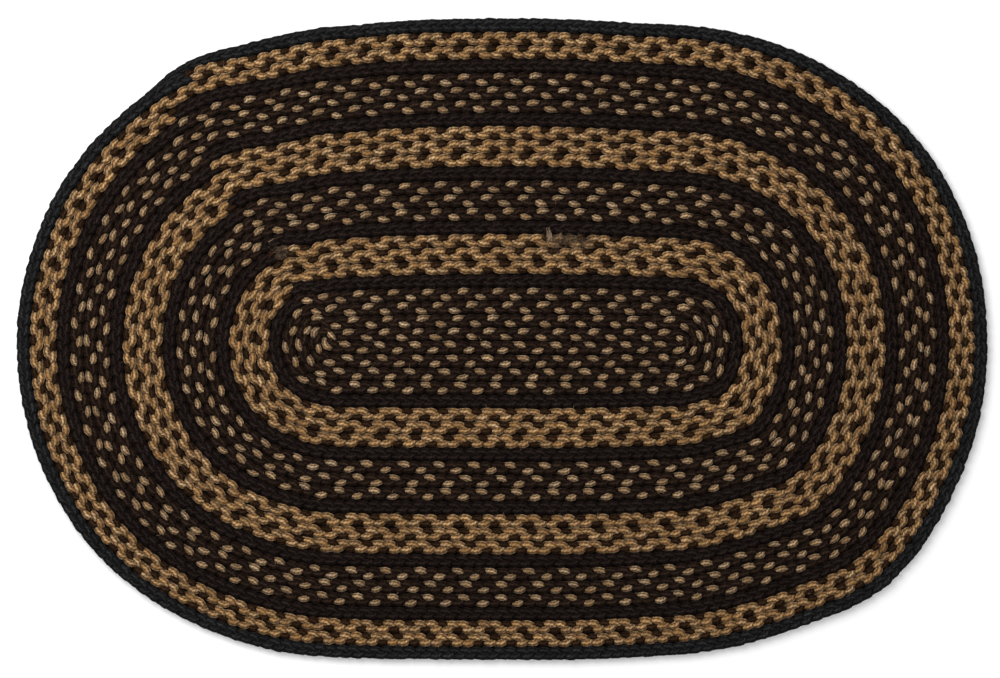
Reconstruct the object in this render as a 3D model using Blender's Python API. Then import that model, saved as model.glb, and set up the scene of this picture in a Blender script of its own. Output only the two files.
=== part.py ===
"""Oval braided rug: one flat braid coiled round a straight core seam, each round laced to the last.

Metres, +Z up. The long axis lies along X and the origin is at the middle of the underside.
The rug is one flat solid. Its face is raised in a ridge for every round of the braid, and the
ridge is a true coil: at the step line each round moves out by one braid.
"""

import math

import bmesh
import bpy

RUG_NAME = "braided_rug"

# Driving sizes
ROUNDS = 24                # rounds of braid from the core seam to the edge
BRAID_PITCH = 0.01048      # width of one laced round
CORE_LENGTH = 0.2638       # straight seam that the first round folds about
CORE_DROP = 0.0020         # the core lies this far towards -Y from the middle of the edge
CORE_REACH = 0.0063        # and its +X end reaches this much further
RUG_THICKNESS = 0.0080     # two layers of strand
GROOVE_HEIGHT = 0.0054     # top of the lacing between two rounds, above the floor
EDGE_HEIGHT = 0.0040       # height at which the outer braid is widest
EDGE_UNDERCUT = 0.0014     # the outer braid curls in by this much at the floor
FLANK_SLOPE = 2.2          # steepest rise of a ridge that starts or ends in a point

# Cross-section of one ridge, groove to groove: share of the pitch, height
RIDGE_PROFILE = (
    (0.00, GROOVE_HEIGHT),
    (0.27, RUG_THICKNESS),
    (0.73, RUG_THICKNESS),
)

# The step line, by the direction of the round's outward normal, in degrees
STEP_START = 100.0
STEP_END = 146.0

# Sections round the rug: facets along each straight side, each end and the step line
SIDE_SECTIONS = 6
END_DEGREES = 8.0

# How far the edge stands out (+) or in (-) from a true oval: bearing from the middle
# in degrees, distance in millimetres. The high rows at 139 and 327 are its two corners.
EDGE_WANDER = (
    (0, -2.5),
    (22, -1.8),
    (40, -4.7),
    (60, -5.6),
    (76, -1.4),
    (90, 0.0),
    (107, -2.0),
    (119, -7.2),
    (130, -10.2),
    (139, -4.7),
    (151, -7.2),
    (164, -5.0),
    (180, -2.4),
    (208, 0.3),
    (230, -2.7),
    (252, 0.2),
    (280, 0.8),
    (294, -1.6),
    (306, -4.4),
    (317, -2.6),
    (327, 6.6),
    (341, 1.6),
)

# Bands of colour from the edge inwards: rounds in the band, yarn
BANDS = (
    (1, "border"),
    (2, "natural"),
    (1, "dark"),
    (3, "flecked"),
    (1, "dark"),
    (3, "natural"),
    (1, "dark"),
    (3, "flecked"),
    (1, "dark"),
    (3, "natural"),
    (1, "dark"),
    (4, "flecked"),
)

# Yarn: base colour, roughness
YARNS = {
    "border": ((0.016, 0.016, 0.018, 1.0), 0.92),
    "natural": ((0.235, 0.140, 0.070, 1.0), 0.90),
    "dark": ((0.014, 0.010, 0.008, 1.0), 0.92),
    "flecked": ((0.066, 0.041, 0.023, 1.0), 0.91),
}

MILLIMETRE = 0.001
WELD_DISTANCE = 0.00001
EDGE_RADIUS = ROUNDS * BRAID_PITCH


def clear_scene():
    """Remove every object, so that only the rug is in the file."""
    for obj in list(bpy.data.objects):
        bpy.data.objects.remove(obj, do_unlink=True)


def make_yarn_materials():
    """One Principled material for each yarn, in the order of YARNS."""
    materials = []
    for name, (colour, roughness) in YARNS.items():
        material = bpy.data.materials.new(name + "_yarn")
        material.use_nodes = True
        shader = material.node_tree.nodes["Principled BSDF"]
        shader.inputs["Base Color"].default_value = colour
        shader.inputs["Roughness"].default_value = roughness
        shader.inputs["Metallic"].default_value = 0.0
        material.diffuse_color = colour
        materials.append(material)
    return materials


def yarn_by_round():
    """Index of the yarn of each round, counted from the core outwards."""
    names = list(YARNS)
    inwards = []
    for rounds, yarn in BANDS:
        inwards += [names.index(yarn)] * rounds
    return inwards[::-1]


def edge_wander(bearing):
    """Departure of the edge from a true oval at a bearing in degrees, as a smooth closed curve."""
    count = len(EDGE_WANDER)
    bearing %= 360.0
    last = max(i for i in range(count) if EDGE_WANDER[i][0] <= bearing)
    angles = []
    values = []
    for i in range(last - 1, last + 3):
        angle, value = EDGE_WANDER[i % count]
        angles.append(angle + 360.0 * (i // count))
        values.append(value * MILLIMETRE)
    span = angles[2] - angles[1]
    start_slope = (values[2] - values[0]) / (angles[2] - angles[0])
    end_slope = (values[3] - values[1]) / (angles[3] - angles[1])
    t = (bearing - angles[1]) / span
    return ((2 * t ** 3 - 3 * t ** 2 + 1) * values[1]
            + (t ** 3 - 2 * t ** 2 + t) * span * start_slope
            + (3 * t ** 2 - 2 * t ** 3) * values[2]
            + (t ** 3 - t ** 2) * span * end_slope)


def place(foot_x, normal_degrees, radius):
    """Point of the oval at a distance from the core, along the outward normal of one section.

    The nearer to the core, the more it shares in the core's drop and reach.
    """
    normal = math.radians(normal_degrees)
    edge_x = foot_x + EDGE_RADIUS * math.cos(normal)
    edge_y = EDGE_RADIUS * math.sin(normal)
    bearing = math.degrees(math.atan2(edge_y, edge_x))
    reach = radius + edge_wander(bearing) * math.sqrt(radius / EDGE_RADIUS)
    inwards = 1.0 - (radius / EDGE_RADIUS) ** 2
    core_shift_x = CORE_REACH * (0.5 + foot_x / CORE_LENGTH) * inwards
    core_shift_y = -CORE_DROP * inwards
    return foot_x + reach * math.cos(normal) + core_shift_x, reach * math.sin(normal) + core_shift_y


def spread(start, end, steps):
    """Evenly spaced values after start, up to and including end."""
    return [start + (end - start) * i / steps for i in range(1, steps + 1)]


def steps_for(degrees):
    return max(1, round(degrees / END_DEGREES))


def list_sections():
    """Sections once round the rug from the end of the step line: core foot, normal in degrees."""
    half = CORE_LENGTH / 2
    sections = [(-half, STEP_END)]
    for angle in spread(STEP_END, 270.0, steps_for(270.0 - STEP_END)):
        sections.append((-half, angle))
    for foot_x in spread(-half, half, SIDE_SECTIONS):
        sections.append((foot_x, 270.0))
    for angle in spread(270.0, 450.0, steps_for(180.0)):
        sections.append((half, angle))
    for foot_x in spread(half, -half, SIDE_SECTIONS):
        sections.append((foot_x, 450.0))
    for angle in spread(450.0, STEP_START + 360.0, steps_for(STEP_START - 90.0)):
        sections.append((-half, angle))
    for angle in spread(STEP_START + 360.0, STEP_END + 360.0, steps_for(STEP_END - STEP_START)):
        sections.append((-half, angle))
    return sections


def step_share(normal_degrees):
    """How much of its step outwards a round has made: 0 before the step line, 1 after it."""
    t = (normal_degrees - 360.0 - STEP_START) / (STEP_END - STEP_START)
    t = min(max(t, 0.0), 1.0)
    return t * t * (3.0 - 2.0 * t)


def face_column(section):
    """Points of the face along one section, from the core to the edge, with each one's round."""
    foot_x, normal_degrees = section
    step = step_share(normal_degrees)
    column = []
    for turn in range(-1, ROUNDS):
        for share, height in RIDGE_PROFILE:
            radius = (turn + share + step) * BRAID_PITCH
            radius = min(max(radius, 0.0), EDGE_RADIUS)
            height = min(height, GROOVE_HEIGHT + FLANK_SLOPE * radius)
            height = min(height, EDGE_HEIGHT + FLANK_SLOPE * (EDGE_RADIUS - radius))
            column.append((place(foot_x, normal_degrees, radius) + (height,), turn))
    column.append((place(foot_x, normal_degrees, EDGE_RADIUS) + (EDGE_HEIGHT,), ROUNDS))
    return column


def centre_of(points):
    """Middle of the box round a list of points, in plan."""
    xs = [point[0] for point in points]
    ys = [point[1] for point in points]
    return (min(xs) + max(xs)) / 2, (min(ys) + max(ys)) / 2


def build_rug_mesh():
    """The coiled ridges of the face, the curled edge and the flat underside as one closed body."""
    sections = list_sections()
    columns = [face_column(section) for section in sections]
    middle_x, middle_y = centre_of([column[-1][0] for column in columns])
    yarns = yarn_by_round()
    bm = bmesh.new()

    def add_vertex(point):
        return bm.verts.new((point[0] - middle_x, point[1] - middle_y, point[2]))

    grid = [[add_vertex(point) for point, turn in column] for column in columns]
    for i in range(len(sections) - 1):
        for j in range(len(grid[i]) - 1):
            corners = (grid[i][j], grid[i][j + 1], grid[i + 1][j + 1], grid[i + 1][j])
            face = bm.faces.new(corners)
            turn = columns[i][j][1]
            face.material_index = yarns[min(max(turn, 0), ROUNDS - 1)]

    floor_radius = EDGE_RADIUS - EDGE_UNDERCUT
    floor_loop = []
    for foot_x, normal_degrees in sections[:-1]:
        floor_loop.append(add_vertex(place(foot_x, normal_degrees, floor_radius) + (0.0,)))
    for i in range(len(floor_loop)):
        following = (i + 1) % len(floor_loop)
        bm.faces.new((grid[i][-1], floor_loop[i], floor_loop[following], grid[i + 1][-1]))
    bm.faces.new(floor_loop)

    bmesh.ops.remove_doubles(bm, verts=bm.verts, dist=WELD_DISTANCE)
    bmesh.ops.recalc_face_normals(bm, faces=bm.faces)
    mesh = bpy.data.meshes.new(RUG_NAME)
    bm.to_mesh(mesh)
    bm.free()
    return mesh


def build_rug():
    mesh = build_rug_mesh()
    for material in make_yarn_materials():
        mesh.materials.append(material)
    mesh.shade_smooth()
    rug = bpy.data.objects.new(RUG_NAME, mesh)
    bpy.context.scene.collection.objects.link(rug)


clear_scene()
build_rug()
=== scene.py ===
"""Looks of the oval braided rug: every strand of its coiled plait, laced and slightly hairy.

Metres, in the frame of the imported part. The coil is worked out from the same sizes as the solid,
and the rug lies on a plain pale floor.
"""

import bisect
import math
import random

import bmesh
import bpy
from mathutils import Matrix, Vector


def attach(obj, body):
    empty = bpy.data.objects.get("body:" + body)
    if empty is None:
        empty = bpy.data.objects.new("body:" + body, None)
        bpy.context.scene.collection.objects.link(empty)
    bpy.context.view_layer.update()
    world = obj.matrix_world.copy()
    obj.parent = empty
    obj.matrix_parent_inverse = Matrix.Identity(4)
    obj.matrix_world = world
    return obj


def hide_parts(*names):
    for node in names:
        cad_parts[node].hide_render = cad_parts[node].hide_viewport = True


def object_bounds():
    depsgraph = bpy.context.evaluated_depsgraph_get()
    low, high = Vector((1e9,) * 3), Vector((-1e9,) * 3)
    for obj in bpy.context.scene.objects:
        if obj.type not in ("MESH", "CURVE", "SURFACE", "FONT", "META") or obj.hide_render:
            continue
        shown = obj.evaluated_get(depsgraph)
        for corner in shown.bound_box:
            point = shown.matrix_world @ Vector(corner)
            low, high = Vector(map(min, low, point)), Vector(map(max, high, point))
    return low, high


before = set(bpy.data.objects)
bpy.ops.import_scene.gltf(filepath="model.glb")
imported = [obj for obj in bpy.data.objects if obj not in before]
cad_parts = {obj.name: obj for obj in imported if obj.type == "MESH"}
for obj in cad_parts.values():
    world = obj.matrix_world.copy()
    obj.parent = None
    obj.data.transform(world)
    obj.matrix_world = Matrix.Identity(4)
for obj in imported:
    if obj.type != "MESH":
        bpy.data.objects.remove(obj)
cad_low, cad_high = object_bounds()

RUG_NODE = "braided_rug"

# The photograph's frame, in pixels
PHOTO_WIDTH = 1000
PHOTO_HEIGHT = 678
RUG_LENGTH_IN_PHOTO = 971
RUG_MIDDLE_IN_PHOTO = (502, 339)
PIXEL = (cad_high.x - cad_low.x) / RUG_LENGTH_IN_PHOTO  # and one of them in metres

# The studio
CAMERA_HEIGHT = 2.6
SENSOR_WIDTH = 36.0  # in millimetres
KEY_LIGHT_PLACE = (-0.55, 0.62, 0.95)
KEY_LIGHT_SIZE = 1.05
KEY_LIGHT_POWER = 14.1
ROOM_LIGHT = 0.80  # strength of the even light from all round
FLOOR_HALF_SIZE = 4.0
FLOOR_TONES = (0.95, 0.97)

# The coil
ROUNDS = 24  # rounds of braid from the core seam to the edge
BRAID_PITCH = 0.01048  # width of one laced round
CORE_LENGTH = 0.2638  # straight seam that the first round folds about
CORE_DROP = 0.0020  # the core lies this far towards -Y from the middle of the edge
CORE_REACH = 0.0063  # and its +X end reaches this much further
STEP_START = 100.0  # the step line, by the direction of the outward normal in degrees
STEP_END = 146.0
EDGE_RADIUS = ROUNDS * BRAID_PITCH

# How far the edge stands out (+) or in (-) from a true oval: bearing from the middle
# in degrees, distance in millimetres. The high rows at 139 and 327 are its two corners.
EDGE_WANDER = (
    (0, -2.5), (22, -1.8), (40, -4.7), (60, -5.6), (76, -1.4), (90, 0.0),
    (107, -2.0), (119, -7.2), (130, -10.2), (139, -4.7), (151, -7.2), (164, -5.0),
    (180, -2.4), (208, 0.3), (230, -2.7), (252, 0.2), (280, 0.8), (294, -1.6),
    (306, -4.4), (317, -2.6), (327, 6.6), (341, 1.6),
)

# Yarn of each of the three strands
NATURAL = ("natural", "natural", "dark")
FLECKED = ("natural", "dark", "dark")
DARK = ("dark", "dark", "dark")

# Bands from the edge inwards: rounds in the band, yarns, length of one full turn of the plait
BANDS = (
    (1, ("border", "border", "border"), 0.0265),
    (2, NATURAL, 0.02533),
    (1, DARK, 0.0270),
    (3, FLECKED, 0.0280),
    (1, DARK, 0.0270),
    (3, NATURAL, 0.0270),
    (1, DARK, 0.0270),
    (3, FLECKED, 0.0280),
    (1, DARK, 0.0270),
    (3, NATURAL, 0.0270),
    (1, DARK, 0.0270),
    (4, FLECKED, 0.0275),
)

# The plait. A strand whose two partners are of the other yarn is drawn in a little, and they close
# over its turns: swing (a strand's sideways travel each way), rise and fall of its middle, half
# width on the face and where it turns back at the side, half thickness on the face and at the turn
SHAPE_INPUTS = ("Swing", "Lift", "Face half width", "Turn half width", "Face half thickness",
                "Turn half thickness")
STRAND_SHAPES = {
    "lone": (0.00290, 0.00205, 0.00250, 0.00235, 0.00182, 0.00190),
    "paired": (0.00282, 0.00180, 0.00295, 0.00285, 0.00205, 0.00270),
    "alike": (0.00282, 0.00182, 0.00290, 0.00290, 0.00205, 0.00265),
}
PLAIT_MIDDLE = 0.0041  # height of the plait's middle above the floor
YARNS_IN_STRAND = 5  # yarns that lie side by side round a strand
PLAIT = {
    "Side stay": 0.19,  # share by which a strand keeps to the side and then crosses faster
    "Face stay": 0.14,  # and by which it keeps to the face and then dives faster
    "Lift lead": math.radians(20.0),  # of the plait's turn, doubled, by which it rises early
    "Dome": 0.00042,  # the braid's middle stands this much higher, its sides this much lower
    "Middle height": PLAIT_MIDDLE,
    "Yarns": YARNS_IN_STRAND,
    "Fuzz length": 0.0045,
}
TURN_SHARPNESS = 4.0  # a higher power keeps the taller section nearer to the turn
TAPER = 0.6  # and a lower one keeps a tucked end full for longer
YARN_RIDGE = 1.03  # a yarn's ridge, as a share of the strand's half width
YARN_FURROW = 0.88  # and the furrow beside it
PATH_SPACING = 0.0015  # from point to point of the braid's middle line
TUCKED_SHARE = 0.20  # the ends are tucked under where the braid is this share of its width
TUCKED_IN = 1.00  # the outer end is drawn in by this share of a round
YARN_CHANGE = 0.5  # a band starts where its first round has made this share of its step
BORDER_CHANGE = 0.34  # and the border here
HIDDEN_AT = 0.125  # share of a turn, and each half turn on, at which a strand is out of sight

# Rings of a strand in each half turn of the plait, as shares of a turn: most strands, dark strands
# that lie beside another, and the border's
RING_SHARES = (-0.276, -0.211, -0.146, -0.081, -0.016, 0.105)
DARK_RING_SHARES = (-0.264, -0.181, -0.100, -0.025, 0.095)
BORDER_RING_SHARES = (-0.25, -0.194, -0.139, -0.083, -0.028, 0.028, 0.083, 0.139, 0.194)

# How a strand strays: noise steps in a turn of the plait, place in the noise, reach
STRAY_ALONG = (0.8, 0.0, 0.035)
STRAY_ASIDE = (1.7, 300.0, 0.09)
STRAY_PLUMP = (2.3, 600.0, 0.13)
STRAND_SEED = 37.0  # the three strands are this far apart in the noise

# The whole braid sways a little from its true line: reach, and noise steps in a metre
SWAY = 0.0016
SWAY_SCALE = 11.0

# The yarn's finish
PLY_LENGTH = 0.0024  # one slanted ply to the next along a yarn
PLY_SLANT = 0.9  # plies that are passed from one side of a yarn to the other
PLY_SHIFT = 0.37  # and from one yarn to the next
FIBRES_PER_METRE = (1500.0, 260.0)  # fast and slow noise steps along a yarn
FIBRES_PER_YARN = 13.0  # and steps from yarn to yarn
TONE_NOISE = (130.0, 3.7, 0.0)  # noise steps in a metre, steps from yarn to yarn, place
HUE_NOISE = (75.0, 2.3, 7.0)
STRETCHES_PER_METRE = 95.0
STRETCH_TONES = (0.74, 1.12)  # tone of the dullest and the palest stretches of a strand
PAINTED_SHADE_RANGE = (0.0012, 0.0036)  # distance from the middle over which the painted shade between the strands fades out
PAINTED_SHADE_TONE = 0.60  # tone of the painted shade at the plait's middle, as a share of the unshaded yarn's
LIT_SHARES = (0.42, 0.26, 0.32)  # of ridge, ply and fibre in how lit a place is painted, which sets its painted shade or highlight
RELIEF = (0.10, 0.22, 0.16)  # height of ridge, ply and fibre in the bump, in millimetres
ROUGHNESS = (0.97, 0.85)  # between fibres and on them
SHEEN_ROUGHNESS = 0.5
RUB_NOISE = 260.0  # noise steps in a metre round the edge of a rubbed place
RUB_RAGGED = 0.9  # and how far the edge strays, as a share of its reach

# What each value of a finish runs from and to before it is stretched to 0 to 1
CONTRAST = {
    "fibre": (0.34, 0.66),
    "tone": (0.32, 0.70),
    "hue": (0.38, 0.62),
    "stretch": (0.30, 0.70),
    "body": (0.12, 0.70),
    "bright": (0.45, 0.95),
    "rubbed": (1.05, 1.50),
}

# Yarns: name of the finish, deep colour (painted shade in the furrows), body colour, lit colour
# (partly painted highlight on the ridges), lit colour of the paler fibres, sheen, specular level
YARNS = {
    "natural": ("natural_jute", (0.046, 0.018, 0.004), (0.280, 0.141, 0.043),
                (0.735, 0.470, 0.222), (0.690, 0.540, 0.340), 0.06, 0.20),
    "fleck": ("fleck_jute", (0.046, 0.021, 0.007), (0.278, 0.161, 0.068),
              (0.690, 0.488, 0.285), (0.650, 0.545, 0.405), 0.06, 0.20),
    "seam": ("seam_jute", (0.010, 0.004, 0.002), (0.036, 0.018, 0.008),
             (0.080, 0.049, 0.026), (0.073, 0.056, 0.036), 0.0, 0.10),
    "worn": ("worn_jute", (0.040, 0.019, 0.007), (0.150, 0.083, 0.038),
             (0.350, 0.235, 0.130), (0.320, 0.255, 0.180), 0.06, 0.20),
    "frayed": ("frayed_jute", (0.090, 0.052, 0.028), (0.230, 0.145, 0.085),
               (0.440, 0.320, 0.220), (0.430, 0.350, 0.270), 0.06, 0.20),
    "dark": ("dark_jute", (0.0027, 0.0015, 0.0012), (0.0135, 0.0080, 0.0065),
             (0.0330, 0.0215, 0.0165), (0.0310, 0.0225, 0.0195), 0.0, 0.05),
    # Dark yarns beside tan strands: partly tan fibres they have caught, partly painted warm light
    # thrown on them by the tan strands
    "dark_in_flecked": (
        "dark_jute_with_few_tan_fibres", (0.0044, 0.0021, 0.0012), (0.0185, 0.0096, 0.0062),
        (0.0500, 0.0290, 0.0170), (0.0400, 0.0260, 0.0190), 0.0, 0.05),
    "dark_in_natural": (
        "dark_jute_with_many_tan_fibres", (0.0075, 0.0030, 0.0011), (0.0265, 0.0119, 0.0050),
        (0.0670, 0.0360, 0.0160), (0.0510, 0.0310, 0.0170), 0.0, 0.05),
    "border": ("border_jute", (0.0034, 0.0034, 0.0036), (0.0140, 0.0141, 0.0147),
               (0.0410, 0.0408, 0.0415), (0.0370, 0.0375, 0.0390), 0.0, 0.05),
}

# The lacing thread, low in the groove between two rounds. Its shape has the columns of a strand's
LACING_SHAPE = (0.00120, 0.00040, 0.00055, 0.00055, 0.00055, 0.00055)
LACING_HEIGHT = 0.0041
LACING_YARNS = 2
LACING_RING_SHARES = (-1 / 4, 0.0)
LACED_ROUNDS = (0.4, ROUNDS - 0.9)  # rounds from the core at which it starts and ends

# Fibres that stand off the yarn: how many for each square metre of strand, radius, and how far
# their middle stands up
FUZZ_DENSITY = {"natural": 17000.0, "dark": 5500.0, "border": 9000.0}
FUZZ_RADIUS = 0.00005
FUZZ_RISE = 0.0006
FUZZ_HEIGHT = 0.0046  # they grow above this height
FUZZ_SLOPE = 0.3  # and where the surface looks up by more than this
FUZZ_POINTS = 4
FUZZ_SIDES = 3
FUZZ_BENDS = (-0.22, 0.06, 0.30)  # how far each of their shapes bends aside, for its length
FUZZ_SIZES = (0.55, 1.35)  # their smallest and largest size, as shares
FUZZ_TINT = (1.0, 0.3)  # they take their colour from this place on a strand's ring
TINT_RUN = 9.0  # anywhere along this length of strand

# Worn spots of the inner natural band, in the photograph's pixels. Rubbed yarn: place, reach, tone
# as a share of the yarn's own. Loose yarn: place, reach, length. Tufts: roots, half spread of the
# roots along and across the braid, tip, hairs, curl of the hairs in degrees.
RUBBED_SPOTS = (
    ((556, 236), 0.0080, 0.48),
    ((570, 237), 0.0085, 0.32),
    ((585, 238), 0.0080, 0.40),
    ((276, 250), 0.0100, 0.12),
)
LOOSE_SPOTS = (
    ((557, 240), 0.0080, 0.0050),
    ((574, 240), 0.0085, 0.0055),
    ((281, 250), 0.0070, 0.0050),
)
TUFTS = (
    ((549.8, 239.5), (0.0024, 0.0012), (548.0, 226.5), 42, 24.0),
    ((559.5, 238.5), (0.0016, 0.0010), (560.5, 231.5), 13, 36.0),
    ((258.0, 250.0), (0.0012, 0.0010), (259.5, 242.5), 13, 36.0),
    ((268.0, 243.0), (0.0008, 0.0006), (278.0, 236.0), 5, 50.0),
)
LOOSE_SOURCES = ("natural_strands_10", "dark_strands_10")
LOOSE_DENSITY = 380000.0  # loose fibres for each square metre of those strands
TUFT_SEED = 3
TUFT_ROOT_RADIUS = 0.00014
TUFT_TIP_RADIUS = 0.00004
TUFT_HEIGHT = 0.0072  # height of the roots above the floor
TUFT_RISE = 0.0012  # and how far the hairs stand above them
TUFT_RISE_SHARES = (0.4, 1.2)  # least and most of that rise
TUFT_SPREAD = 0.35  # the hairs are as far apart at their tip as this share of their roots
TUFT_AIM = 3.0  # degrees by which a hair may miss the tip
SHORTEST_HAIR = 0.35  # as a share of the longest
HAIR_SHORTNESS = 1.5  # a higher power makes more of them short
HAIR_STEPS = 5
HAIR_SIDES = 3

# Dark sheet inside the braid, seen only through its gaps: it stands for the packed inner fibres,
# painted dark as the shade deep between the strands
GROUND_LOW = 0.0028
GROUND_HIGH = 0.0037
GROUND_INSET = 0.0085
GROUND_SPACING = 0.012

MILLIMETRE = 0.001
TURN = 2 * math.pi


def photo_spot(x, y):
    """Place on the rug of a pixel of the photograph."""
    middle_x, middle_y = RUG_MIDDLE_IN_PHOTO
    return Vector(((x - middle_x) * PIXEL, (middle_y - y) * PIXEL, 0.0))


# ---- node trees

class Nodes:
    """Adds nodes to a tree. A value is a constant, an output socket, or a node's first output."""

    def __init__(self, tree):
        self.tree = tree

    def feed(self, socket, value):
        if isinstance(value, bpy.types.Node):
            value = value.outputs[0]
        if isinstance(value, bpy.types.NodeSocket):
            self.tree.links.new(value, socket)
        else:
            socket.default_value = value

    def add(self, kind, inputs=None, **settings):
        node = self.tree.nodes.new(kind)
        for name, value in settings.items():
            setattr(node, name, value)
        for name, value in (inputs or {}).items():
            self.feed(node.inputs[name], value)
        return node

    def operate(self, kind, operation, values):
        node = self.add(kind, operation=operation)
        for socket, value in zip(node.inputs, values):
            self.feed(socket, value)
        return node.outputs

    def maths(self, operation, *values):
        return self.operate("ShaderNodeMath", operation, values)[0]

    def vector(self, operation, *values):
        return self.operate("ShaderNodeVectorMath", operation, values)[0]

    def plus(self, one, other):
        return self.maths("ADD", one, other)

    def minus(self, one, other):
        return self.maths("SUBTRACT", one, other)

    def times(self, one, other):
        return self.maths("MULTIPLY", one, other)

    def times_plus(self, one, other, more):
        return self.maths("MULTIPLY_ADD", one, other, more)

    def distance(self, one, other):
        return self.operate("ShaderNodeVectorMath", "DISTANCE", (one, other))["Value"]

    def scaled(self, vector, scale):
        node = self.add("ShaderNodeVectorMath", {"Scale": scale}, operation="SCALE")
        self.feed(node.inputs[0], vector)
        return node.outputs[0]

    def combine(self, x, y, z):
        return self.add("ShaderNodeCombineXYZ", {"X": x, "Y": y, "Z": z}).outputs[0]

    def split(self, vector):
        return self.add("ShaderNodeSeparateXYZ", {"Vector": vector}).outputs

    def in_plan(self, vector):
        return self.vector("MULTIPLY", vector, (1.0, 1.0, 0.0))

    def between(self, share, low, high):
        """From low at share 0 to high at share 1."""
        if not isinstance(low, bpy.types.NodeSocket):
            return self.times_plus(share, high - low, low)
        return self.times_plus(share, self.minus(high, low), low)

    def weigh(self, values, shares):
        """Sum of the values, each times its share."""
        total = 0.0
        for value, share in zip(values, shares):
            total = self.times_plus(value, share, total)
        return total

    def position(self):
        return self.add("GeometryNodeInputPosition")

    def attribute(self, name, kind="FLOAT_VECTOR"):
        node = self.add("GeometryNodeInputNamedAttribute", {"Name": name}, data_type=kind)
        return node.outputs["Attribute"]

    def store(self, geometry, name, value, kind="FLOAT_VECTOR"):
        node = self.add("GeometryNodeStoreNamedAttribute", {"Geometry": geometry, "Name": name},
                        data_type=kind, domain="POINT")
        self.feed(node.inputs["Value"], value)
        return node.outputs["Geometry"]

    def noise(self, where, scale=1.0, detail=1.0, roughness=0.5):
        return self.add("ShaderNodeTexNoise", {"Vector": where, "Scale": scale, "Detail": detail,
                                               "Roughness": roughness}).outputs

    def noise_along(self, where, scale=1.0):
        """Noise from 0 to 1 along a length."""
        node = self.add("ShaderNodeTexNoise", {"W": where, "Scale": scale, "Detail": 1.0},
                        noise_dimensions="1D")
        return node.outputs[0]


def start_tree(name, inputs):
    """A geometry tree with its inputs, listed by kind, and their sockets."""
    tree = bpy.data.node_groups.new(name, "GeometryNodeTree")
    tree.interface.new_socket("Geometry", in_out="INPUT", socket_type="NodeSocketGeometry")
    tree.interface.new_socket("Geometry", in_out="OUTPUT", socket_type="NodeSocketGeometry")
    for kind, labels in inputs.items():
        for label in labels:
            tree.interface.new_socket(label, in_out="INPUT", socket_type="NodeSocket" + kind)
    make = Nodes(tree)
    return make, make.add("NodeGroupInput").outputs


def end_tree(make, geometry, material):
    """Realize Instances and Set Material, then the tree's output."""
    real = make.add("GeometryNodeRealizeInstances", {"Geometry": geometry})
    dressed = make.add("GeometryNodeSetMaterial", {"Geometry": real, "Material": material})
    make.add("NodeGroupOutput", {"Geometry": dressed})
    return make.tree


def grow(name, base_mesh, tree, values):
    """Run a tree on a mesh with its inputs set, and give the result as a plain mesh object."""
    seed = bpy.data.objects.new(name, base_mesh)
    bpy.context.scene.collection.objects.link(seed)
    modifier = seed.modifiers.new("shape", "NODES")
    modifier.node_group = tree
    sockets = {item.name: item.identifier for item in tree.interface.items_tree
               if item.item_type == "SOCKET" and item.in_out == "INPUT"}
    for label, value in values.items():
        modifier[sockets[label]] = value
    depsgraph = bpy.context.evaluated_depsgraph_get()
    mesh = bpy.data.meshes.new_from_object(seed.evaluated_get(depsgraph), depsgraph=depsgraph)
    seed.modifiers.remove(modifier)
    seed.data = mesh
    mesh.name = name
    if base_mesh.users == 0:
        bpy.data.meshes.remove(base_mesh)
    return seed


# ---- the coil

def edge_wander(bearing):
    """Departure of the edge from a true oval at a bearing in degrees, as a smooth closed curve."""
    count = len(EDGE_WANDER)
    bearing %= 360.0
    last = max(i for i in range(count) if EDGE_WANDER[i][0] <= bearing)
    angles = []
    values = []
    for i in range(last - 1, last + 3):
        angle, value = EDGE_WANDER[i % count]
        angles.append(angle + 360.0 * (i // count))
        values.append(value * MILLIMETRE)
    span = angles[2] - angles[1]
    start_slope = (values[2] - values[0]) / (angles[2] - angles[0])
    end_slope = (values[3] - values[1]) / (angles[3] - angles[1])
    t = (bearing - angles[1]) / span
    return ((2 * t ** 3 - 3 * t ** 2 + 1) * values[1]
            + (t ** 3 - 2 * t ** 2 + t) * span * start_slope
            + (3 * t ** 2 - 2 * t ** 3) * values[2]
            + (t ** 3 - t ** 2) * span * end_slope)


def place(foot_x, normal_degrees, radius):
    """Point of the oval at a distance from the core, along the outward normal of one section.

    The nearer to the core, the more it shares in the core's drop and reach.
    """
    normal = math.radians(normal_degrees)
    edge_x = foot_x + EDGE_RADIUS * math.cos(normal)
    edge_y = EDGE_RADIUS * math.sin(normal)
    bearing = math.degrees(math.atan2(edge_y, edge_x))
    reach = radius + edge_wander(bearing) * math.sqrt(radius / EDGE_RADIUS)
    inwards = 1.0 - (radius / EDGE_RADIUS) ** 2
    core_shift_x = CORE_REACH * (0.5 + foot_x / CORE_LENGTH) * inwards
    core_shift_y = -CORE_DROP * inwards
    return (foot_x + reach * math.cos(normal) + core_shift_x,
            reach * math.sin(normal) + core_shift_y)


def step_share(normal_degrees):
    """How much of its step outwards a round has made: 0 before the step line, 1 after it."""
    t = (normal_degrees - 360.0 - STEP_START) / (STEP_END - STEP_START)
    t = min(max(t, 0.0), 1.0)
    return t * t * (3.0 - 2.0 * t)


def band_by_round():
    """Index in BANDS of each round, counted from the core outwards."""
    inwards = []
    for index, (rounds, yarns, plait_length) in enumerate(BANDS):
        inwards += [index] * rounds
    return inwards[::-1]


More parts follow.
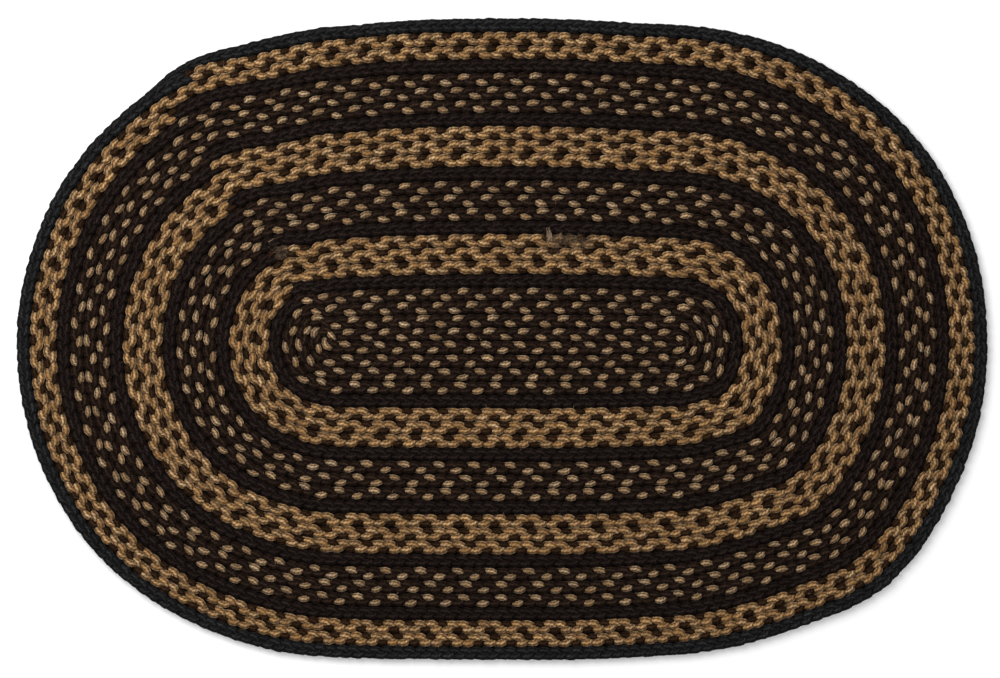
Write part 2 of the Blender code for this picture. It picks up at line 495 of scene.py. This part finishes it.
def turn_sections(turn, spacing):
    """Sections about spacing apart along one turn of the coil, from step line to step line."""
    half = CORE_LENGTH / 2
    radius = (max(turn, 0) + 0.5) * BRAID_PITCH
    whole = (
        ("end", -half, STEP_END, 270.0),
        ("side", 270.0, -half, half),
        ("end", half, 270.0, 450.0),
        ("side", 450.0, half, -half),
        ("end", -half, 450.0, 360.0 + STEP_START),
        ("end", -half, 360.0 + STEP_START, 360.0 + STEP_END),
    )
    sections = []
    for kind, fixed, start, finish in (whole if turn >= 0 else whole[-1:]):
        if kind == "side":
            count = math.ceil(abs(finish - start) / spacing)
        else:
            count = math.ceil(math.radians(finish - start) * radius / spacing)
        for i in range(count):
            value = start + (finish - start) * i / count
            sections.append((value, fixed) if kind == "side" else (fixed, value))
    return sections


class BraidPoint:
    """One place on the braid's middle line."""

    def __init__(self, turn, foot_x, normal_degrees):
        step = step_share(normal_degrees) if normal_degrees > 360.0 else 0.0
        if turn < 0:
            radius = step / 2
            self.fullness = step
        elif turn == ROUNDS - 1:
            radius = ROUNDS - 0.5 + step / 2 - TUCKED_IN * step * step
            self.fullness = 1.0 - step
        else:
            radius = turn + 0.5 + step
            self.fullness = 1.0
        self.radius = radius * BRAID_PITCH
        self.foot_x = foot_x
        self.normal_degrees = normal_degrees
        change = BORDER_CHANGE if turn == ROUNDS - 2 else YARN_CHANGE
        self.round = min(max(turn + (1 if step > change else 0), 0), ROUNDS - 1)
        self.plait_turns = 0.0

    def spot(self, aside):
        """Its place in plan, moved outwards by aside."""
        x, y = place(self.foot_x, self.normal_degrees, self.radius + aside)
        return Vector((x, y, 0.0))

    def side(self):
        normal = math.radians(self.normal_degrees)
        return Vector((math.cos(normal), math.sin(normal), 0.0))


def braid_points():
    """The braid's middle line from its tucked start at the core to its tucked end at the edge."""
    bands = band_by_round()
    points = []
    for turn in range(-1, ROUNDS):
        for foot_x, normal_degrees in turn_sections(turn, PATH_SPACING):
            point = BraidPoint(turn, foot_x, normal_degrees)
            if point.fullness > TUCKED_SHARE:
                points.append(point)
    for i in range(1, len(points)):
        travel = (points[i].spot(0.0) - points[i - 1].spot(0.0)).length
        plait_length = BANDS[bands[points[i].round]][2]
        points[i].plait_turns = points[i - 1].plait_turns + travel / plait_length
    return points


class Line:
    """A line that follows the coil, looked up by how often the plait has turned since its start."""

    def __init__(self, points, aside, middle):
        self.turns = [point.plait_turns for point in points]
        self.spots = [point.spot(aside) - middle for point in points]
        self.sides = [point.side() for point in points]
        self.fullness = [point.fullness for point in points]

    def at(self, turns):
        i = min(max(bisect.bisect_right(self.turns, turns), 1), len(self.turns) - 1)
        share = (turns - self.turns[i - 1]) / (self.turns[i] - self.turns[i - 1])
        spot = self.spots[i - 1].lerp(self.spots[i], share)
        side = self.sides[i - 1].lerp(self.sides[i], share).normalized()
        fullness = self.fullness[i - 1] + (self.fullness[i] - self.fullness[i - 1]) * share
        return spot, side, fullness


def ring_turns(start, end, lead, shares):
    """Where a strand has its rings, when it is ahead of the plait by lead of a turn."""
    turns = [start]
    for half_turn in range(math.floor(2 * (start + lead)) - 1, math.ceil(2 * (end + lead)) + 2):
        for share in shares:
            turn = half_turn / 2 + share - lead
            if turns[-1] < turn < end:
                turns.append(turn)
    turns.append(end)
    return turns


def path_mesh(name, line, strands):
    """Chains of edges along the strands, with what the plait needs to know at each point.

    Each strand is given by its start and end in plait turns, its lead and its ring shares.
    """
    spots = []
    edges = []
    facts = {"side": [], "plait_turns": [], "fullness": [], "seed": []}
    for start, end, lead, shares in strands:
        for i, turns in enumerate(ring_turns(start, end, lead, shares)):
            spot, side, fullness = line.at(turns)
            if i > 0:
                edges.append((len(spots) - 1, len(spots)))
            spots.append(spot)
            facts["side"].extend(side)
            facts["plait_turns"].append(turns + lead)
            facts["fullness"].append(fullness)
            facts["seed"].append(lead * 3 * STRAND_SEED)
    mesh = bpy.data.meshes.new(name)
    mesh.from_pydata(spots, edges, [])
    mesh.attributes.new("side", "FLOAT_VECTOR", "POINT").data.foreach_set("vector", facts["side"])
    for label in ("plait_turns", "fullness", "seed"):
        mesh.attributes.new(label, "FLOAT", "POINT").data.foreach_set("value", facts[label])
    return mesh


def edge_outline(inset, spacing):
    """Points once round the rug, in from its edge by inset."""
    return [place(foot_x, normal, EDGE_RADIUS - inset)
            for foot_x, normal in turn_sections(ROUNDS - 1, spacing)]


def coil_middle():
    """Middle of the box round the edge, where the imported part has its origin."""
    outline = edge_outline(0.0, BRAID_PITCH)
    xs = [x for x, y in outline]
    ys = [y for x, y in outline]
    return Vector(((min(xs) + max(xs)) / 2, (min(ys) + max(ys)) / 2, 0.0))


# ---- the plait

def bent_fibre(make, length, bend):
    """One fibre along X, from the surface up over its middle and back down beside it."""
    handle = make.combine(make.times(length, 0.45), make.times(length, bend), FUZZ_RISE * 2.0)
    arc = make.add("GeometryNodeCurveQuadraticBezier",
                   {"Start": (0.0, 0.0, 0.0), "Middle": handle,
                    "End": make.combine(length, 0.0, FUZZ_RISE * 0.5)})
    coarse = make.add("GeometryNodeResampleCurve", {"Curve": arc, "Count": FUZZ_POINTS})
    section = make.add("GeometryNodeCurvePrimitiveCircle",
                       {"Resolution": FUZZ_SIDES, "Radius": FUZZ_RADIUS})
    return make.add("GeometryNodeCurveToMesh",
                    {"Curve": coarse, "Profile Curve": section, "Fill Caps": True})


def fibres_on(make, surface, chosen, density, length, seed):
    """Bent fibres scattered over the chosen faces of a surface, each turned at random."""
    points = make.add("GeometryNodeDistributePointsOnFaces",
                      {"Mesh": surface, "Selection": chosen, "Density": density, "Seed": seed})

    def chance(low, high, draw):
        node = make.add("FunctionNodeRandomValue", {"Seed": draw}, data_type="FLOAT")
        make.feed(node.inputs[2], low)
        make.feed(node.inputs[3], high)
        return node.outputs[1]

    tint = make.combine(*FUZZ_TINT, chance(0.0, TINT_RUN, 5))
    marked = make.store(points.outputs["Points"], "yarn", tint)
    shapes = make.add("GeometryNodeGeometryToInstance")
    for bend in FUZZ_BENDS:
        make.feed(shapes.inputs[0], bent_fibre(make, length, bend))
    spin = make.add("FunctionNodeAxisAngleToRotation",
                    {"Axis": (0.0, 0.0, 1.0), "Angle": chance(0.0, TURN, 6)})
    turned = make.add("FunctionNodeRotateRotation",
                      {"Rotation": points.outputs["Rotation"], "Rotate By": spin},
                      rotation_space="LOCAL")
    size = chance(*FUZZ_SIZES, 7)
    placed = make.add("GeometryNodeInstanceOnPoints",
                      {"Points": marked, "Instance": shapes, "Pick Instance": True,
                       "Rotation": turned, "Scale": make.combine(size, size, size)})
    real = make.add("GeometryNodeRealizeInstances", {"Geometry": placed})
    return above_the_floor(make, real)


def on_the_face(make):
    """Picks what looks upwards in the upper half of the plait."""
    normal = make.split(make.add("GeometryNodeInputNormal"))
    upwards = make.maths("GREATER_THAN", normal["Z"], FUZZ_SLOPE)
    upper = make.maths("GREATER_THAN", make.split(make.position())["Z"], FUZZ_HEIGHT)
    return make.times(upwards, upper)


def above_the_floor(make, geometry):
    """Lifts what hangs below the floor up to lie on it."""
    now = make.split(make.position())
    raised = make.combine(now["X"], now["Y"], make.maths("MAXIMUM", now["Z"], FUZZ_RADIUS))
    return make.add("GeometryNodeSetPosition", {"Geometry": geometry, "Position": raised})


def yarn_ring(make, yarns):
    """Section of a strand: a ring of side-by-side yarns, each one ridge between two furrows."""
    circle = make.add("GeometryNodeCurvePrimitiveCircle",
                      {"Resolution": make.times(yarns, 2.0), "Radius": 1.0})
    in_furrow = make.maths("MODULO", make.add("GeometryNodeInputIndex"), 2.0)
    ring = make.store(circle, "furrow", in_furrow, "FLOAT")
    reach = make.between(in_furrow, YARN_RIDGE, YARN_FURROW)
    ring = make.add("GeometryNodeSetPosition",
                    {"Geometry": ring, "Position": make.scaled(make.position(), reach)})
    quarter_pitch = make.maths("DIVIDE", TURN / 4, yarns)
    turned = make.add("GeometryNodeTransform",
                      {"Geometry": ring, "Rotation": make.combine(0.0, 0.0, quarter_pitch)})
    return make.store(turned, "ring", make.position())


def plait_tree():
    """Strands of a flat three-strand plait, laid along a path and given their flattened section."""
    make, given = start_tree("plait", {
        "Float": ("Swing", "Side stay", "Face stay", "Lift", "Lift lead", "Dome", "Middle height",
                  "Face half width", "Turn half width", "Face half thickness",
                  "Turn half thickness", "Fuzz density", "Fuzz length"),
        "Int": ("Yarns", "Fuzz seed"),
        "Material": ("Yarn",),
    })
    path = make.add("GeometryNodeMeshToCurve", {"Mesh": given["Geometry"]})
    turns = make.attribute("plait_turns", "FLOAT")
    fullness = make.attribute("fullness", "FLOAT")
    side = make.attribute("side")
    seed = make.attribute("seed", "FLOAT")

    def stray(steps, place_in_noise, reach):
        where = make.plus(turns, make.plus(seed, place_in_noise))
        noise = make.times_plus(make.noise_along(where, steps), 4.0, -2.0)
        return make.times(noise, reach)

    # Side to side once, up and down twice, in each turn of the plait
    angle = make.times(make.plus(turns, stray(*STRAY_ALONG)), TURN)
    third = make.maths("SINE", make.times(angle, 3.0))
    sideways = make.times_plus(third, given["Side stay"], make.maths("SINE", angle))
    swing = make.times(sideways, given["Swing"])
    swing = make.times(swing, make.plus(stray(*STRAY_ASIDE), 1.0))
    double_angle = make.times_plus(angle, 2.0, given["Lift lead"])
    double = make.maths("SINE", double_angle)
    rise = make.maths("SINE", make.times(double_angle, 3.0))
    rise = make.times_plus(rise, given["Face stay"], double)
    lift = make.times(make.times(rise, given["Lift"]), fullness)
    dome = make.times(make.maths("COSINE", double_angle), given["Dome"])
    height = make.minus(make.plus(given["Middle height"], dome), lift)
    offset = make.vector("ADD", make.scaled(side, make.times(swing, fullness)),
                         make.combine(0.0, 0.0, height))
    sway = make.noise(make.position(), SWAY_SCALE)["Color"]
    swayed = make.scaled(make.vector("SUBTRACT", sway, (0.5, 0.5, 0.5)), SWAY)
    offset = make.vector("ADD", offset, make.in_plan(swayed))
    laid = make.add("GeometryNodeSetPosition", {"Geometry": path, "Offset": offset})

    # Wider and flatter on the two faces, narrower and taller where it turns back
    on_face = make.times(double, double)
    at_turn = make.maths("POWER", make.maths("SINE", angle), TURN_SHARPNESS)
    plump = make.plus(stray(*STRAY_PLUMP), 1.0)
    plump = make.times(plump, make.maths("POWER", fullness, TAPER))
    half_width = make.between(on_face, given["Turn half width"], given["Face half width"])
    half_width = make.times(half_width, plump)
    half_thickness = make.between(at_turn, given["Face half thickness"],
                                  given["Turn half thickness"])
    half_thickness = make.times(half_thickness, plump)
    tangent = make.add("GeometryNodeInputTangent")
    across = make.vector("NORMALIZE", make.vector("CROSS_PRODUCT", (0.0, 0.0, 1.0), tangent))
    upward = make.vector("CROSS_PRODUCT", tangent, across)
    curve = make.store(laid, "middle", make.position())
    curve = make.store(curve, "across", make.scaled(across, half_width))
    curve = make.store(curve, "upward", make.scaled(upward, half_thickness))
    run = make.add("GeometryNodeSplineParameter").outputs["Length"]
    curve = make.store(curve, "run", make.plus(run, seed), "FLOAT")

    # The ring rides along the strand and takes its width and thickness there
    tube = make.add("GeometryNodeCurveToMesh",
                    {"Curve": curve, "Profile Curve": yarn_ring(make, given["Yarns"]),
                     "Scale": MILLIMETRE, "Fill Caps": True})
    around = make.split(make.attribute("ring"))
    sideways = make.scaled(make.attribute("across"), around["X"])
    upwards = make.scaled(make.attribute("upward"), around["Y"])
    surface = make.vector("ADD", make.attribute("middle"),
                          make.vector("ADD", sideways, upwards))
    shaped = make.add("GeometryNodeSetPosition", {"Geometry": tube, "Position": surface})
    smooth = make.add("GeometryNodeSetShadeSmooth", {"Geometry": shaped}, domain="FACE")

    # Only an edge that lies along a furrow has furrow at both of its ends
    in_furrow = make.maths("GREATER_THAN", make.attribute("furrow", "FLOAT"), 0.75)
    creased = make.add("GeometryNodeSetShadeSmooth",
                       {"Geometry": smooth, "Selection": in_furrow,
                        "Shade Smooth": False}, domain="EDGE")
    yarn = make.combine(around["X"], around["Y"], make.attribute("run", "FLOAT"))
    marked = make.store(creased, "yarn", yarn)
    fuzz = fibres_on(make, marked, on_the_face(make), given["Fuzz density"], given["Fuzz length"],
                     given["Fuzz seed"])
    both = make.add("GeometryNodeJoinGeometry")
    for part in (fuzz, marked):
        make.feed(both.inputs[0], part)
    return end_tree(make, both, given["Yarn"])


def fray_tree():
    """Loose fibres over the part of a strand that lies within reach of a spot."""
    make, given = start_tree("fray", {
        "Vector": ("Spot",),
        "Float": ("Reach", "Density", "Length"),
        "Int": ("Seed",),
        "Material": ("Yarn",),
    })
    apart = make.distance(make.in_plan(make.position()), given["Spot"])
    near = make.maths("LESS_THAN", apart, given["Reach"])
    chosen = make.times(near, on_the_face(make))
    loose = fibres_on(make, given["Geometry"], chosen, given["Density"], given["Length"],
                      given["Seed"])
    return end_tree(make, loose, given["Yarn"])


def keep_yarn_only(mesh):
    """Drop the attributes that only the plait had a use for."""
    for name in ("middle", "across", "upward", "ring", "furrow", "run", "side", "fullness",
                 "plait_turns", "seed"):
        if name in mesh.attributes:
            mesh.attributes.remove(mesh.attributes[name])


# ---- finishes

def start_material(name):
    material = bpy.data.materials.new(name)
    material.use_nodes = True
    make = Nodes(material.node_tree)
    shader = material.node_tree.nodes["Principled BSDF"]
    return material, make, shader


def mix(make, share, low, high):
    """Blend two colours, given as rgb or as sockets."""
    node = make.add("ShaderNodeMix", data_type="RGBA")
    make.feed(node.inputs["Factor"], share)
    for socket, colour in ((node.inputs[6], low), (node.inputs[7], high)):
        make.feed(socket, (*colour, 1.0) if isinstance(colour, tuple) else colour)
    return node.outputs[2]


def stretch(make, value, contrast):
    """Stretch the named range of CONTRAST to 0 to 1, and clip it."""
    low, high = CONTRAST[contrast]
    node = make.add("ShaderNodeMapRange", {"Value": value, "From Min": low, "From Max": high})
    return node.outputs[0]


def rubbed(make, place_now):
    """Tone over the worn spots: dull in the middle of each, and 1 away from them."""
    tone = 1.0
    ragged = make.noise(place_now, RUB_NOISE, 2.0)[0]
    flat = make.in_plan(place_now)
    for spot, reach, dull in RUBBED_SPOTS:
        share = make.maths("DIVIDE", make.distance(flat, photo_spot(*spot)), reach)
        share = make.times_plus(ragged, RUB_RAGGED, share)
        here = make.between(stretch(make, share, "rubbed"), dull, 1.0)
        tone = make.maths("MINIMUM", tone, here)
    return tone


def yarn_material(name, furrow_shade, body, light, straw, sheen, specular, worn):
    """Jute strand: twisted yarns side by side, with fibres, and tone that wanders along them."""
    material, make, shader = start_material(name)
    parts = make.split(make.add("ShaderNodeAttribute", attribute_name="yarn").outputs["Vector"])
    run = parts["Z"]
    angle = make.maths("ARCTAN2", parts["Y"], parts["X"])

    # Which yarn of the strand, and how far across it: 0 on its ridge, a half in the furrow
    yarns = make.times_plus(angle, YARNS_IN_STRAND / TURN, 0.25)
    number = make.maths("FLOOR", yarns)
    across = make.minus(make.maths("FRACT", yarns), 0.5)
    ridge = make.maths("COSINE", make.times(across, TURN))
    ridge = make.times_plus(ridge, 0.5, 0.5)

    # The plies of each yarn cross it at a slant
    ply = make.times_plus(across, PLY_SLANT, make.maths("DIVIDE", run, PLY_LENGTH))
    ply = make.times_plus(number, PLY_SHIFT, ply)
    ply = make.maths("SINE", make.times(ply, TURN))
    ply = make.times_plus(ply, 0.5, 0.5)

    # Fibres lie nearly along the yarn
    fast, slow = FIBRES_PER_METRE
    fast = make.times_plus(run, fast, make.times(yarns, FIBRES_PER_YARN))
    fibre = make.noise(make.combine(fast, make.times(run, slow), number), detail=3.0, roughness=0.6)
    fibre = stretch(make, fibre[0], "fibre")

    def noise_on_yarn(steps_per_metre, steps_per_yarn, place_in_noise, detail):
        where = make.combine(make.times(run, steps_per_metre), make.times(number, steps_per_yarn),
                             place_in_noise)
        return make.noise(where, detail=detail)[0]

    # Painted shade deep in the furrows and painted highlight on the ridges and plies, with the
    # fibres' own tone; paler and greyer in places along each yarn
    tone = stretch(make, noise_on_yarn(*TONE_NOISE, 2.0), "tone")
    hue = stretch(make, noise_on_yarn(*HUE_NOISE, 1.0), "hue")
    lit = make.weigh((ridge, ply, fibre), LIT_SHARES)
    colour = mix(make, stretch(make, lit, "body"), furrow_shade, body)
    bright = make.times(tone, stretch(make, lit, "bright"))
    colour = mix(make, bright, colour, mix(make, hue, light, straw))

    # Some stretches of a strand are paler, some duller
    stretches = make.noise_along(make.times(run, STRETCHES_PER_METRE))
    stretch_tone = make.between(stretch(make, stretches, "stretch"), *STRETCH_TONES)

    # Painted shade: on both faces the yarn is darkened the nearer it lies to the plait's middle
    # height, down between the strands
    place_now = make.add("ShaderNodeTexCoord").outputs["Object"]
    depth = make.minus(make.split(place_now)["Z"], PLAIT_MIDDLE)
    painted_shade_and_wear = make.add("ShaderNodeMapRange", {"Value": make.maths("ABSOLUTE", depth),
                                            "From Min": PAINTED_SHADE_RANGE[0], "From Max": PAINTED_SHADE_RANGE[1],
                                            "To Min": PAINTED_SHADE_TONE})
    painted_shade_and_wear = make.times(painted_shade_and_wear.outputs[0], stretch_tone)
    if worn:
        painted_shade_and_wear = make.times(painted_shade_and_wear, rubbed(make, place_now))
    # Base colour: the yarn's colour times the painted shade, the stretch tone and the real wear
    make.feed(shader.inputs["Base Color"], make.scaled(colour, painted_shade_and_wear))

    make.feed(shader.inputs["Roughness"], make.between(fibre, *ROUGHNESS))
    shader.inputs["Specular IOR Level"].default_value = specular
    shader.inputs["Sheen Weight"].default_value = sheen
    shader.inputs["Sheen Roughness"].default_value = SHEEN_ROUGHNESS

    bump = make.add("ShaderNodeBump", {"Strength": 1.0, "Distance": MILLIMETRE,
                                       "Height": make.weigh((ridge, ply, fibre), RELIEF)})
    make.feed(shader.inputs["Normal"], bump.outputs[0])
    return material


def make_yarn_materials():
    """A finish for each yarn. Only the natural yarn has rubbed places."""
    return {yarn: yarn_material(*finish, worn=(yarn == "natural"))
            for yarn, finish in YARNS.items()}


def floor_material():
    """Plain pale studio floor."""
    material, make, shader = start_material("pale_floor")
    grain = make.noise(make.add("ShaderNodeTexCoord").outputs["Object"], 4.0, 2.0)[0]
    make.feed(shader.inputs["Base Color"], make.between(grain, *FLOOR_TONES))
    shader.inputs["Roughness"].default_value = 0.9
    return material


# ---- camera, light and floor

def mesh_object(name, bm, material):
    """Put a finished form into the scene as an object of one material."""
    mesh = bpy.data.meshes.new(name)
    bm.to_mesh(mesh)
    bm.free()
    mesh.materials.append(material)
    piece = bpy.data.objects.new(name, mesh)
    bpy.context.scene.collection.objects.link(piece)
    return piece


def make_camera():
    """Long lens straight above, framed as the photograph is."""
    data = bpy.data.cameras.new("camera")
    data.sensor_width = SENSOR_WIDTH
    distance = CAMERA_HEIGHT - cad_high.z
    data.lens = SENSOR_WIDTH * distance / (PHOTO_WIDTH * PIXEL)
    data.clip_end = 20.0
    camera = bpy.data.objects.new("camera", data)
    camera.location = photo_spot(PHOTO_WIDTH / 2, PHOTO_HEIGHT / 2) + Vector((0, 0, CAMERA_HEIGHT))
    bpy.context.scene.collection.objects.link(camera)
    bpy.context.scene.camera = camera


def make_key_light():
    """One large soft light, near enough at the upper left to leave the lower right dimmer."""
    data = bpy.data.lights.new("key_light", "AREA")
    data.size = KEY_LIGHT_SIZE
    data.energy = KEY_LIGHT_POWER
    light = bpy.data.objects.new("key_light", data)
    light.location = KEY_LIGHT_PLACE
    light.rotation_mode = "QUATERNION"
    light.rotation_quaternion = (-Vector(KEY_LIGHT_PLACE)).to_track_quat("-Z", "Y")
    bpy.context.scene.collection.objects.link(light)


def make_room_light():
    """Even white light from all round."""
    world = bpy.data.worlds.new("studio")
    world.use_nodes = True
    backdrop = world.node_tree.nodes["Background"]
    backdrop.inputs["Color"].default_value = (1.0, 1.0, 1.0, 1.0)
    backdrop.inputs["Strength"].default_value = ROOM_LIGHT
    bpy.context.scene.world = world
    bpy.context.scene.view_settings.view_transform = "Standard"


def make_floor():
    bm = bmesh.new()
    bmesh.ops.create_grid(bm, x_segments=1, y_segments=1, size=FLOOR_HALF_SIZE)
    floor = mesh_object("floor", bm, floor_material())


# ---- the rug

def place_on_rug(piece):
    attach(piece, "root")
    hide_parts(RUG_NODE)


def band_spans(points):
    """Start and end of each band's stretch of braid in plait turns, by its place in BANDS."""
    bands = band_by_round()
    spans = {}
    for i, point in enumerate(points):
        band = bands[point.round]
        last = points[min(i + 1, len(points) - 1)].plait_turns
        start = spans[band][0] if band in spans else point.plait_turns
        spans[band] = (start, last)
    return spans


def change_place(turns, lead, points):
    """Where a strand's yarn changes: the next place where it lies under the others on the face."""
    if turns in (points[0].plait_turns, points[-1].plait_turns):
        return turns
    return math.ceil(2 * (turns + lead - HIDDEN_AT)) / 2 + HIDDEN_AT - lead


def ring_shares(colour, kin):
    """Rings of a strand, by its colour and whether others of its band share it."""
    if colour == "border":
        return BORDER_RING_SHARES
    return DARK_RING_SHARES if colour == "dark" and kin != "lone" else RING_SHARES


def yarn_in_band(colour, colours):
    """The yarn of a strand, which has caught fibres of the strands beside it; a dark strand beside
    tan ones is also painted lighter and warmer for the light they throw on it.
    """
    tan_strands = colours.count("natural")
    if tan_strands == 2 and colour == "dark":
        return "dark_in_natural"
    if tan_strands == 1:
        return "fleck" if colour == "natural" else "dark_in_flecked"
    return colour


def make_strands(points, middle, yarns):
    """The strands of each band, one piece for each colour in it."""
    tree = plait_tree()
    line = Line(points, 0.0, middle)
    strands = []
    for band, (start, end) in sorted(band_spans(points).items()):
        colours = BANDS[band][1]
        for colour in sorted(set(colours)):
            name = f"{colour}_strands_{band + 1:02d}"
            leads = [k / 3 for k in range(3) if colours[k] == colour]
            kin = ("lone", "paired", "alike")[len(leads) - 1]
            paths = [(change_place(start, lead, points), change_place(end, lead, points), lead,
                      ring_shares(colour, kin)) for lead in leads]
            piece = grow(name, path_mesh(name, line, paths), tree, {
                **PLAIT,
                **dict(zip(SHAPE_INPUTS, STRAND_SHAPES[kin])),
                "Yarn": yarns[yarn_in_band(colour, colours)],
                "Fuzz density": FUZZ_DENSITY[colour],
                "Fuzz seed": band,
            })
            keep_yarn_only(piece.data)
            place_on_rug(piece)
            strands.append(piece)
    return strands


def make_loose_yarn(strands, yarns):
    """Loose fibres over the worn spots of the inner natural band."""
    tree = fray_tree()
    loose = []
    for number, (spot, reach, length) in enumerate(LOOSE_SPOTS, 1):
        for piece in [piece for piece in strands if piece.name in LOOSE_SOURCES]:
            name = f"loose_yarn_{number}_{piece.name}"
            fray = grow(name, piece.data.copy(), tree, {
                "Spot": photo_spot(*spot),
                "Reach": reach,
                "Density": LOOSE_DENSITY,
                "Length": length,
                "Seed": number,
                "Yarn": yarns["worn"],
            })
            place_on_rug(fray)
            loose.append(fray)
    return loose


def add_hair(bm, root, heading, length, bend, rise):
    """One tapered hair that rises from its root, tips over along its heading and bends aside."""
    rings = []
    middle = root.copy()
    corners = [k * TURN / HAIR_SIDES for k in range(HAIR_SIDES)]
    for i in range(HAIR_STEPS + 1):
        share = i / HAIR_STEPS
        turned = heading + bend * (share * share - 0.25)
        along = Vector((math.cos(turned), math.sin(turned), 0.0))
        side = Vector((-along.y, along.x, 0.0))
        if i > 0:
            middle += along * (length / HAIR_STEPS)
        middle.z = root.z + rise * math.sin(math.pi * share * 0.8)
        radius = TUFT_ROOT_RADIUS + (TUFT_TIP_RADIUS - TUFT_ROOT_RADIUS) * share
        rings.append([bm.verts.new(middle + side * (radius * math.cos(corner))
                                   + Vector((0.0, 0.0, radius * math.sin(corner))))
                      for corner in corners])
    bm.faces.new(rings[0])
    bm.faces.new(rings[-1])
    for lower, upper in zip(rings, rings[1:]):
        for k in range(HAIR_SIDES):
            following = (k + 1) % HAIR_SIDES
            bm.faces.new((lower[k], lower[following], upper[following], upper[k]))


def make_tufts(yarns):
    """Broken yarn ends that stand out over the round beside them, drawn together at the tip."""
    chance = random.Random(TUFT_SEED)
    bm = bmesh.new()
    yarn = bm.verts.layers.float_vector.new("yarn")
    for roots, (along, across), tip, hairs, curl in TUFTS:
        for i in range(hairs):
            before = len(bm.verts)
            apart = Vector((chance.uniform(-along, along), chance.uniform(-across, across), 0.0))
            root = photo_spot(*roots) + apart + Vector((0.0, 0.0, TUFT_HEIGHT))
            way = photo_spot(*tip) + apart * TUFT_SPREAD - root
            miss = math.radians(chance.uniform(-TUFT_AIM, TUFT_AIM))
            share = SHORTEST_HAIR + (1.0 - SHORTEST_HAIR) * chance.random() ** HAIR_SHORTNESS
            bend = math.radians(chance.uniform(-curl, curl))
            rise = TUFT_RISE * chance.uniform(*TUFT_RISE_SHARES)
            add_hair(bm, root, math.atan2(way.y, way.x) + miss, way.xy.length * share, bend, rise)
            tint = Vector((*FUZZ_TINT, chance.uniform(0.0, TINT_RUN)))
            bm.verts.ensure_lookup_table()
            for vertex in bm.verts[before:]:
                vertex[yarn] = tint
    bmesh.ops.recalc_face_normals(bm, faces=bm.faces)
    tufts = mesh_object("tufts", bm, yarns["frayed"])
    place_on_rug(tufts)
    return tufts


def seam_stretches(points):
    """Stretches of seam laced with each yarn, from start to end in plait turns."""
    bands = band_by_round()
    stretches = {"natural": [], "dark": []}
    last_yarn = None
    for point in points:
        inner = BANDS[bands[point.round]][1]
        outer = BANDS[bands[min(point.round + 1, ROUNDS - 1)]][1]
        both_natural = inner.count("natural") == 2 and outer.count("natural") == 2
        yarn = "natural" if both_natural else "dark"
        if yarn != last_yarn:
            stretches[yarn].append([point.plait_turns, point.plait_turns])
        stretches[yarn][-1][1] = point.plait_turns
        last_yarn = yarn
    return stretches


def make_lacing(points, middle, yarns):
    """Zigzag thread along every round but the last. It has no fuzz, stay or dome, which stay 0."""
    first, last = LACED_ROUNDS
    laced = [point for point in points if first < point.radius / BRAID_PITCH < last]
    line = Line(laced, BRAID_PITCH / 2, middle)
    tree = plait_tree()
    threads = []
    for yarn, stretches in seam_stretches(laced).items():
        name = yarn + "_lacing"
        paths = [(start, end, 0.0, LACING_RING_SHARES) for start, end in stretches]
        thread = grow(name, path_mesh(name, line, paths), tree, {
            **dict(zip(SHAPE_INPUTS, LACING_SHAPE)),
            "Middle height": LACING_HEIGHT,
            "Yarns": LACING_YARNS,
            "Yarn": yarns["seam" if yarn == "natural" else "dark"],
        })
        keep_yarn_only(thread.data)
        place_on_rug(thread)
        threads.append(thread)
    return threads


def make_shaded_ground(middle, yarns):
    """Flat dark heart of the rug, which closes the gaps between the strands and is painted dark as
    the shade down in them.
    """
    bm = bmesh.new()
    outline = [Vector((x, y, 0.0)) - middle for x, y in edge_outline(GROUND_INSET, GROUND_SPACING)]
    low = [bm.verts.new((spot.x, spot.y, GROUND_LOW)) for spot in outline]
    high = [bm.verts.new((spot.x, spot.y, GROUND_HIGH)) for spot in outline]
    bm.faces.new(low)
    bm.faces.new(high)
    for i in range(len(outline)):
        following = (i + 1) % len(outline)
        bm.faces.new((low[i], low[following], high[following], high[i]))
    bmesh.ops.recalc_face_normals(bm, faces=bm.faces)
    shaded_ground = mesh_object("shaded_ground", bm, yarns["dark"])
    place_on_rug(shaded_ground)
    return shaded_ground


make_camera()
make_key_light()
make_room_light()
make_floor()
jute = make_yarn_materials()
coil = braid_points()
rug_middle = coil_middle()
on_ground = make_strands(coil, rug_middle, jute)
on_ground += make_loose_yarn(on_ground, jute)
on_ground.append(make_tufts(jute))
on_ground += make_lacing(coil, rug_middle, jute)
make_shaded_ground(rug_middle, jute)
